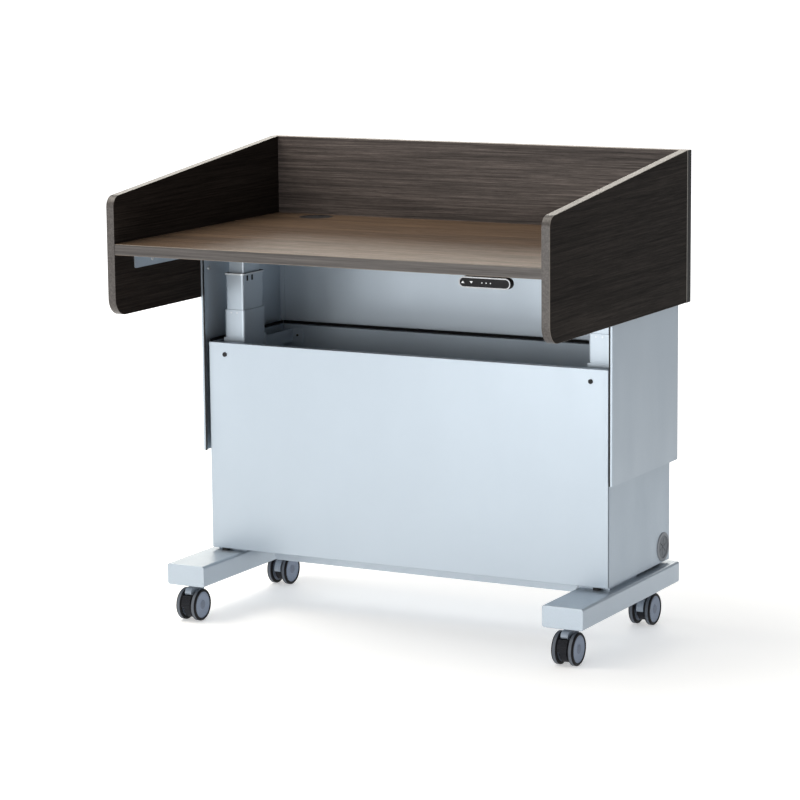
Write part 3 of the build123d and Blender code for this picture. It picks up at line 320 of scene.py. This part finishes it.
def wood_layers(shader, along, faces):
    """The laminate's noise layers, stretched along its grain and swaying across it."""

    def stretched(across, lengthwise):
        return tuple(lengthwise if axis == along else across for axis in "XYZ")

    sway = shader.noise(shader.place(stretched(*SWAY_SCALE)), detail=2.0)
    offset = shader.add("ShaderNodeCombineXYZ")
    aside = "Y" if faces == "Z" else "Z"
    shader.feed(offset.inputs[aside], shader.math("MULTIPLY", sway, SWAY_REACH))
    moved = shader.vector_math("ADD", shader.space, offset.outputs[0])
    return [
        shader.noise(shader.place(stretched(across, lengthwise), moved), detail, rough)
        for across, lengthwise, detail, rough in (BANDS, GRAIN, THREADS, PORES)
    ]


def edge_band(shader, grain, broad, edge):
    """A plain band on a board's edges, and a painted highlight along their rounded corners."""
    tone = shader.ramp(grain, [(stop, scaled(tint, edge)) for stop, tint in EDGE_TONES])
    corner_highlight = shader.product(broad, shader.flip(broad), CORNER_HIGHLIGHT_STRENGTH)
    return shader.mix(corner_highlight, tone, CORNER_HIGHLIGHT)


def laminate(name, along, faces, light, edge, warmth=1.0, index=1.25, contrast=1.0,
             edge_gloss=0.0, ends=None):
    """Dark oak laminate on the board's broad faces, and a plainer band round its edges, made paler
    or darker per board by light and edge as painted light and shade.
    """
    shader = Shader(name, IOR=index, Coat_IOR=1.46, Coat_Roughness=0.36)
    bands, grain, threads, pores = wood_layers(shader, along, faces)

    def tone(red, green, blue):
        return red * light * warmth, green * light, blue * light / warmth ** 1.5

    tones = [(stop, tone(*channels)) for stop, channels in FACE_TONES]
    face = shader.ramp(bands, tones, smooth=True)
    face = shader.shade(face, grain, [(0.36, 0.45), (0.50, 0.97), (0.62, 0.97 + 0.55 * contrast)])
    face = shader.shade(face, threads, [(0.34, 0.66), (0.55, 1.0), (0.72, 1.30)], share=0.85)
    face = shader.shade(face, pores, [(0.34, 0.45), (0.44, 1.0)], share=0.7)

    broad = shader.above(shader.facing(faces), 0.6, blend=0.3)
    colour = shader.mix(broad, edge_band(shader, grain, broad, edge), face)
    shader.colour(ends(shader, colour) if ends else colour)
    if edge_gloss:
        gloss = shader.product(shader.flip(broad), edge_gloss)
        shader.feed(shader.surface.inputs["Coat Weight"], gloss)
    polish = shader.mix(0.5, grain, threads)
    shader.roughness(polish, (0.40, 0.38 + 0.10 * contrast), (0.60, 0.38 - 0.06 * contrast))
    shader.bump(grain, depth=0.00012 * contrast, strength=0.35)
    shader.bump(threads, depth=0.00006, strength=0.4)
    shader.bump(pores, depth=0.00005, strength=0.4)
    return shader.material


def dark_ends(shader, colour):
    """Dark ends on the back board, with a painted highlight where they meet the side boards."""
    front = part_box("back_panel")[0][1]
    joint_highlight = shader.below(shader.split()["Y"], front + JOINT_HIGHLIGHT_WIDTH)
    end_tone = shader.mix(joint_highlight, DARK_END, JOINT_HIGHLIGHT)
    return shader.mix(shader.above(shader.facing("X"), 0.9, blend=0.05), colour, end_tone)


def powder_coat(name, tint=COAT_TINT, index=1.5, painted_shade_mask=None):
    """Silver-grey powder coat with fine flakes and handling marks, and black painted shade in a
    mask.
    """
    shader = Shader(name, Metallic=SILVER_METAL, IOR=index)
    clouds = shader.even_noise(2.2, detail=3.0)
    coat = shader.mix(clouds, scaled(tint, 0.93), scaled(tint, 1.05))
    flakes = shader.even_noise(2600, detail=2.0)
    coat = shader.shade(coat, flakes, [(0.35, 0.90), (0.5, 1.0), (0.68, 1.12)], share=0.8)
    if painted_shade_mask:
        # The mask marks painted shade, coloured black and not metallic there
        rubber = painted_shade_mask(shader)
        coat = shader.mix(rubber, coat, PAINTED_SHADE_BLACK)
        shader.metal(rubber, SILVER_METAL)
    shader.colour(coat)
    rub = shader.noise(shader.place((14, 14, 3)), detail=5.0, rough=0.7)
    shader.roughness(rub, (0.3, 0.32), (0.7, 0.43))
    shader.bump(shader.even_noise(420, detail=2.0), depth=0.00004, strength=0.35)
    return shader.material


def moulded(name, tint, rough=0.55, grain=900.0, index=1.3):
    """Moulded plastic or rubber with a fine spark-eroded texture and slight colour variation."""
    shader = Shader(name, IOR=index)
    clouds = shader.even_noise(30, detail=3.0)
    shader.colour(shader.mix(clouds, scaled(tint, 0.8), scaled(tint, 1.25)))
    texture = shader.even_noise(grain, detail=3.0)
    shader.roughness(texture, (0.3, rough - 0.07), (0.7, rough + 0.08))
    shader.bump(texture, depth=0.00006, strength=0.6)
    return shader.material


def two_tone(name, pale_mask):
    """Black moulded plastic, silver in a mask."""
    shader = Shader(name, IOR=1.3)
    texture = shader.even_noise(900, detail=3.0)
    black = shader.mix(texture, PLASTIC_DARK, PLASTIC_PALE)
    silver = shader.mix(texture, scaled(SILVER, 0.9), SILVER)
    dark = shader.flip(pale_mask(shader))
    shader.colour(shader.mix(dark, silver, black))
    shader.metal(dark, SILVER_METAL)
    shader.roughness(texture, (0.3, 0.38), (0.7, 0.52))
    shader.bump(texture, depth=0.00005, strength=0.5)
    return shader.material


def caster_wheel(name, centre):
    """Black tyre with a grey tread band, on a blue-grey dished rim with a darker hub."""
    shader = Shader(name, IOR=1.25)
    grain = shader.even_noise(700, detail=3.0)
    radius = shader.radius(centre)
    cap = shader.mix(shader.above(radius, HUB_R), HUB_TINT, RIM_TINT)
    cap = shader.shade(cap, grain, [(0.3, 0.85), (0.7, 1.15)])
    tyre = shader.mix(grain, TYRE_DARK, TYRE_PALE)
    across = shader.apart(shader.split()["X"], centre[0])
    middle = shader.below(shader.apart(across, WHEEL_MIDDLE), TREAD_HALF, blend=0.0006)
    tread = shader.product(middle, shader.above(radius, TREAD_R, blend=0.0003))
    tyre = shader.mix(tread, tyre, TREAD_TINT)
    shader.colour(shader.mix(shader.above(radius, RIM_R), cap, tyre))
    shader.roughness(grain, (0.3, 0.42), (0.7, 0.58))
    shader.bump(shader.even_noise(160, detail=3.0), depth=0.00012, strength=0.35)
    shader.bump(grain, depth=0.00005, strength=0.5)
    return shader.material


def marked_gloss(name, mark):
    """Smooth black plastic with a pale printed mark, whose shape is a function of the shader."""
    shader = Shader(name, IOR=1.22)
    smear = shader.noise(shader.place((160, 160, 40)), detail=4.0, rough=0.7)
    ground = shader.mix(smear, GLOSS_TINT, scaled(GLOSS_TINT, 1.6))
    ink = shader.mix(smear, INK_DARK, INK_PALE)
    shader.colour(shader.mix(mark(shader), ground, ink))
    shader.roughness(smear, (0.35, 0.14), (0.7, 0.28))
    shader.bump(smear, depth=0.00002, strength=0.2)
    return shader.material


def arrow(middle, sign):
    """Mark for an arrowhead centred on a point, which points up (sign 1) or down (sign -1)."""
    tip = middle + Vector((0, 0, sign * ARROW_HEIGHT / 2))

    def mark(shader):
        x, _, z = shader.split()
        drop = shader.math("MULTIPLY", shader.math("SUBTRACT", tip[2], z), sign)
        half_width = shader.math("MULTIPLY", drop, ARROW_HALF_WIDTH / ARROW_HEIGHT)
        slack = shader.math("SUBTRACT", half_width, shader.apart(x, tip[0]))
        inside = shader.above(slack, 0.0, blend=0.0001)
        return shader.product(inside, shader.below(drop, ARROW_HEIGHT, blend=0.0001))

    return mark


def dots(centres):
    """Mark for round dots on the handset's face."""

    def mark(shader):
        total = 0.0
        for centre in centres:
            near = shader.below(shader.radius(centre, "Y"), DOT_R, blend=0.0001)
            total = shader.math("ADD", total, near)
        return total

    return mark


def bare_metal(name, tint, brushed=(900, 900, 60)):
    """Plated or satin metal with fine brushing."""
    shader = Shader(name, Metallic=1.0)
    shader.colour(shader.mix(shader.even_noise(60, detail=3.0), scaled(tint, 0.8), tint))
    hair = shader.noise(shader.place(brushed), detail=4.0, rough=0.7)
    shader.roughness(hair, (0.3, 0.22), (0.7, 0.42))
    shader.bump(hair, depth=0.00003, strength=0.4)
    return shader.material


# ---------------------------------------------------------------- masks


def above_cabinet(shader):
    """1 above the cabinet's sheets, on the seal strip along their top edges, which is painted black
    as shade for the gap behind them.
    """
    return shader.above(shader.split()["Z"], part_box("lower_front_panel")[1][2])


def lip_shadow(shader):
    """1 along the inboard edge of a shroud's front lip, painted black as shadow for the gap between
    the shroud and the cabinet.
    """
    low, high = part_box("right_shroud")
    x, y, _ = shader.split()
    inboard = shader.below(shader.apart(x), high[0] - LIP_WIDTH + SHADOW_WIDTH)
    return shader.product(inboard, shader.below(y, low[1] + SHADOW_DEPTH))


def in_glide_slot(shader):
    """1 on the reveals of the glide slots, in the inboard wall of a middle tube near its top,
    painted black as shade inside the slots.
    """
    low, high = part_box("right_middle_tube")
    x, y, z = shader.split()
    outward = shader.apart(x)
    sunk = shader.above(outward, low[0] + WALL_SKIN, blend=0.0001)
    wall = shader.below(outward, low[0] + WALL_DEPTH)
    level = shader.below(shader.apart(z, high[2] - SLOT_DROP), SLOT_HALF_HEIGHT)
    across = shader.below(shader.apart(y, (low[1] + high[1]) / 2), SLOT_HALF_WIDTH)
    return shader.product(sunk, wall, level, across)


def pin_ends(shader):
    """1 on the ends of the glide pins, which show on the outer tubes' front faces."""
    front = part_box("left_middle_collar")[0][1]
    return shader.below(shader.split()["Y"], front + PIN_REACH, blend=0.0005)


def collar_rim(shader):
    """1 on the upright rim of the collar's plate."""
    tube_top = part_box("left_middle_tube")[1][2]
    upright = shader.below(shader.facing("Z"), 0.5, blend=0.1)
    return shader.product(upright, shader.above(shader.split()["Z"], tube_top))


# ---------------------------------------------------------------- paintwork


def paint(names, material):
    """One material on several CAD nodes."""
    for name in names:
        slots = NODES[name].data.materials
        slots.clear()
        slots.append(material)


def matching(*endings):
    """CAD nodes whose names end in one of these."""
    return [name for name in sorted(NODES) if name.endswith(endings)]


def paint_desktop():
    """Laminate on the boards, and the parts that ride on them."""
    # The boards share one laminate: their light and edge factors brighten and darken it per board as
    # painted light and shade, and the back board's much paler edge band is a painted sheen on its
    # top edge
    paint(["worktop"],
          laminate("laminate_worktop", along="X", faces="Z", light=1.5, edge=0.72,
                   warmth=1.27, index=1.42, contrast=1.8))
    paint(["back_panel"],
          laminate("laminate_back", along="X", faces="Y", light=1.65, edge=2.0,
                   warmth=0.95, contrast=1.3, ends=dark_ends))
    paint(matching("side_panel"),
          laminate("laminate_side", along="Y", faces="X", light=0.38, edge=0.75,
                   index=1.08, edge_gloss=0.8))
    # Black painted shadow along the inboard edges of the shrouds' front lips
    paint(["left_shroud", "right_shroud"],
          powder_coat("silver_with_lip_shadow", index=1.3, painted_shade_mask=lip_shadow))
    paint(["handset_bezel"], bare_metal("satin_silver", (0.30, 0.31, 0.325), (60, 900, 900)))
    for name, sign in (("up_button", 1), ("down_button", -1)):
        paint([name], marked_gloss(f"{name}_gloss", arrow(centre_of(name), sign)))
    middle = centre_of("handset_face")
    centres = [middle + Vector((step, 0, 0)) for step in DOT_STEPS]
    paint(["handset_face"], marked_gloss("handset_gloss", dots(centres)))


def paint_cabinet():
    """The cabinet's panels, with a darker coat and a black strip on their top edges as painted
    shade, the cable port, and the black parts of the cabinet and desktop.
    """
    # Darker coat on the panels, and black on the strip above them: painted shade
    paint(["lower_left_panel", "lower_right_panel", "lower_rear_panel"],
          powder_coat("silver_with_shadow_strip", CABINET_SHADED_TINT, index=1.15, painted_shade_mask=above_cabinet))
    paint(["side_grommet_ring"], moulded("port_grey", (0.26, 0.275, 0.30)))
    paint(["side_grommet_diaphragm"],
          moulded("port_rubber", (0.19, 0.205, 0.225), rough=0.6, grain=500.0))
    # The panel spacers are black partly as painted shade, so that the gap between the cabinet and
    # the feet reads dark
    paint(["control_box", "power_inlet", "handset_body", "spindle_nuts", "desk_grommet_ring",
           "desk_grommet_cap", "panel_screws", "panel_spacers", "gearboxes", "drive_motors"],
          moulded("black_moulded", (0.022, 0.022, 0.024)))


def paint_columns():
    """Slotted tubes with painted shade in the slots, black glides and collars with silver details,
    and plated steel.
    """
    # Black painted shade on the glide slots' reveals
    paint(matching("middle_tube"),
          powder_coat("silver_with_shaded_slots", index=1.3, painted_shade_mask=in_glide_slot))
    paint(["outer_glides"], two_tone("glide_plastic", pin_ends))
    paint(matching("middle_collar"), two_tone("collar_plastic", collar_rim))
    paint(["column_bolts", "caster_stems", "desktop_screws", "left_spindle", "right_spindle"],
          bare_metal("zinc_plate", (0.66, 0.67, 0.68)))


def paint_casters():
    """Black hoods and pedals, grey forks, and each pair of wheels about its own centre."""
    paint(matching("hood", "pedal"),
          moulded("caster_black", (0.014, 0.015, 0.019), rough=0.45, index=1.2))
    paint(matching("fork"), moulded("caster_grey", (0.28, 0.325, 0.385), rough=0.4))
    for wheels in matching("wheels"):
        paint([wheels], caster_wheel(wheels.removesuffix("s"), centre_of(wheels)))


def smooth_curves():
    """Smooth shading on every CAD node, with its sharp edges kept."""
    for node in NODES.values():
        node.data.shade_smooth()
        node.data.set_sharp_from_angle(angle=SHARP_ANGLE)


# ---------------------------------------------------------------- stage, light and camera


def mesh_object(name, vertices, faces, material):
    """A mesh object from points and faces."""
    mesh = bpy.data.meshes.new(name)
    mesh.from_pydata(vertices, [], faces)
    mesh.materials.append(material)
    made = bpy.data.objects.new(name, mesh)
    bpy.context.scene.collection.objects.link(made)
    return made


def studio_floor():
    """A pale floor that reaches far past the picture."""
    shader = Shader("floor_paint", Roughness=0.6, Specular_IOR_Level=0.2,
                    Emission_Color=(1, 1, 1, 1))
    cloud = shader.even_noise(0.5, detail=2.0)
    shader.colour(shader.mix(cloud, FLOOR_DARK, FLOOR_PALE))
    glow = shader.fade(shader.radius((0, 0, 0), "Z"), GLOW_REACH, GLOW)
    past_right = shader.vector_math("DOT_PRODUCT", shader.space, SCREEN_FACING, "Value")
    screen = shader.fade(past_right, SCREEN_REACH, (1.0, SCREEN_GLOW))
    shader.feed(shader.surface.inputs["Emission Strength"], shader.product(glow, screen))
    half = FLOOR_HALF
    corners = [(-half, -half, 0), (half, -half, 0), (half, half, 0), (-half, half, 0)]
    mesh_object("floor", corners, [(0, 1, 2, 3)], shader.material)


def soft_light(name, place, aim, width, height, power, tint):
    """A large rectangular light aimed at a point, which the camera doesn't see."""
    data = bpy.data.lights.new(name, "AREA")
    data.shape = "RECTANGLE"
    data.size = width
    data.size_y = height
    data.energy = power
    data.color = tint
    lamp = bpy.data.objects.new(name, data)
    lamp.location = place
    lamp.rotation_euler = (Vector(aim) - Vector(place)).to_track_quat("-Z", "Y").to_euler()
    lamp.visible_camera = False
    bpy.context.scene.collection.objects.link(lamp)


def studio_light():
    """Even, faintly blue surroundings, and the broad lights."""
    world = bpy.data.worlds.new("studio")
    world.use_nodes = True
    surroundings = world.node_tree.nodes["Background"]
    surroundings.inputs["Color"].default_value = (*SKY_TINT, 1)
    surroundings.inputs["Strength"].default_value = SKY_STRENGTH
    bpy.context.scene.world = world
    for name, settings in LIGHTS.items():
        soft_light(name, *settings)


def studio_camera():
    """A long lens from the front right, a little above the worktop."""
    yaw, pitch, roll = (math.radians(angle) for angle in (CAMERA_YAW, CAMERA_PITCH, CAMERA_ROLL))
    forward = Vector((
        -math.sin(yaw) * math.cos(pitch),
        math.cos(yaw) * math.cos(pitch),
        -math.sin(pitch),
    ))
    level = Vector((math.cos(yaw), math.sin(yaw), 0))
    upright = level.cross(forward)
    right = level * math.cos(roll) + upright * math.sin(roll)
    up = upright * math.cos(roll) - level * math.sin(roll)
    data = bpy.data.cameras.new("camera")
    data.lens = CAMERA_LENS
    data.sensor_width = CAMERA_SENSOR
    data.clip_end = CAMERA_REACH
    camera = bpy.data.objects.new("camera", data)
    turn = Matrix((right, up, -forward)).transposed().to_4x4()
    camera.matrix_world = Matrix.Translation(CAMERA_PLACE) @ turn
    bpy.context.scene.collection.objects.link(camera)
    bpy.context.scene.camera = camera


paint(sorted(NODES), powder_coat("silver_powder_coat"))
paint_desktop()
paint_cabinet()
paint_columns()
paint_casters()
smooth_curves()
studio_floor()
studio_light()
studio_camera()
bpy.context.scene.view_settings.view_transform = "Standard"
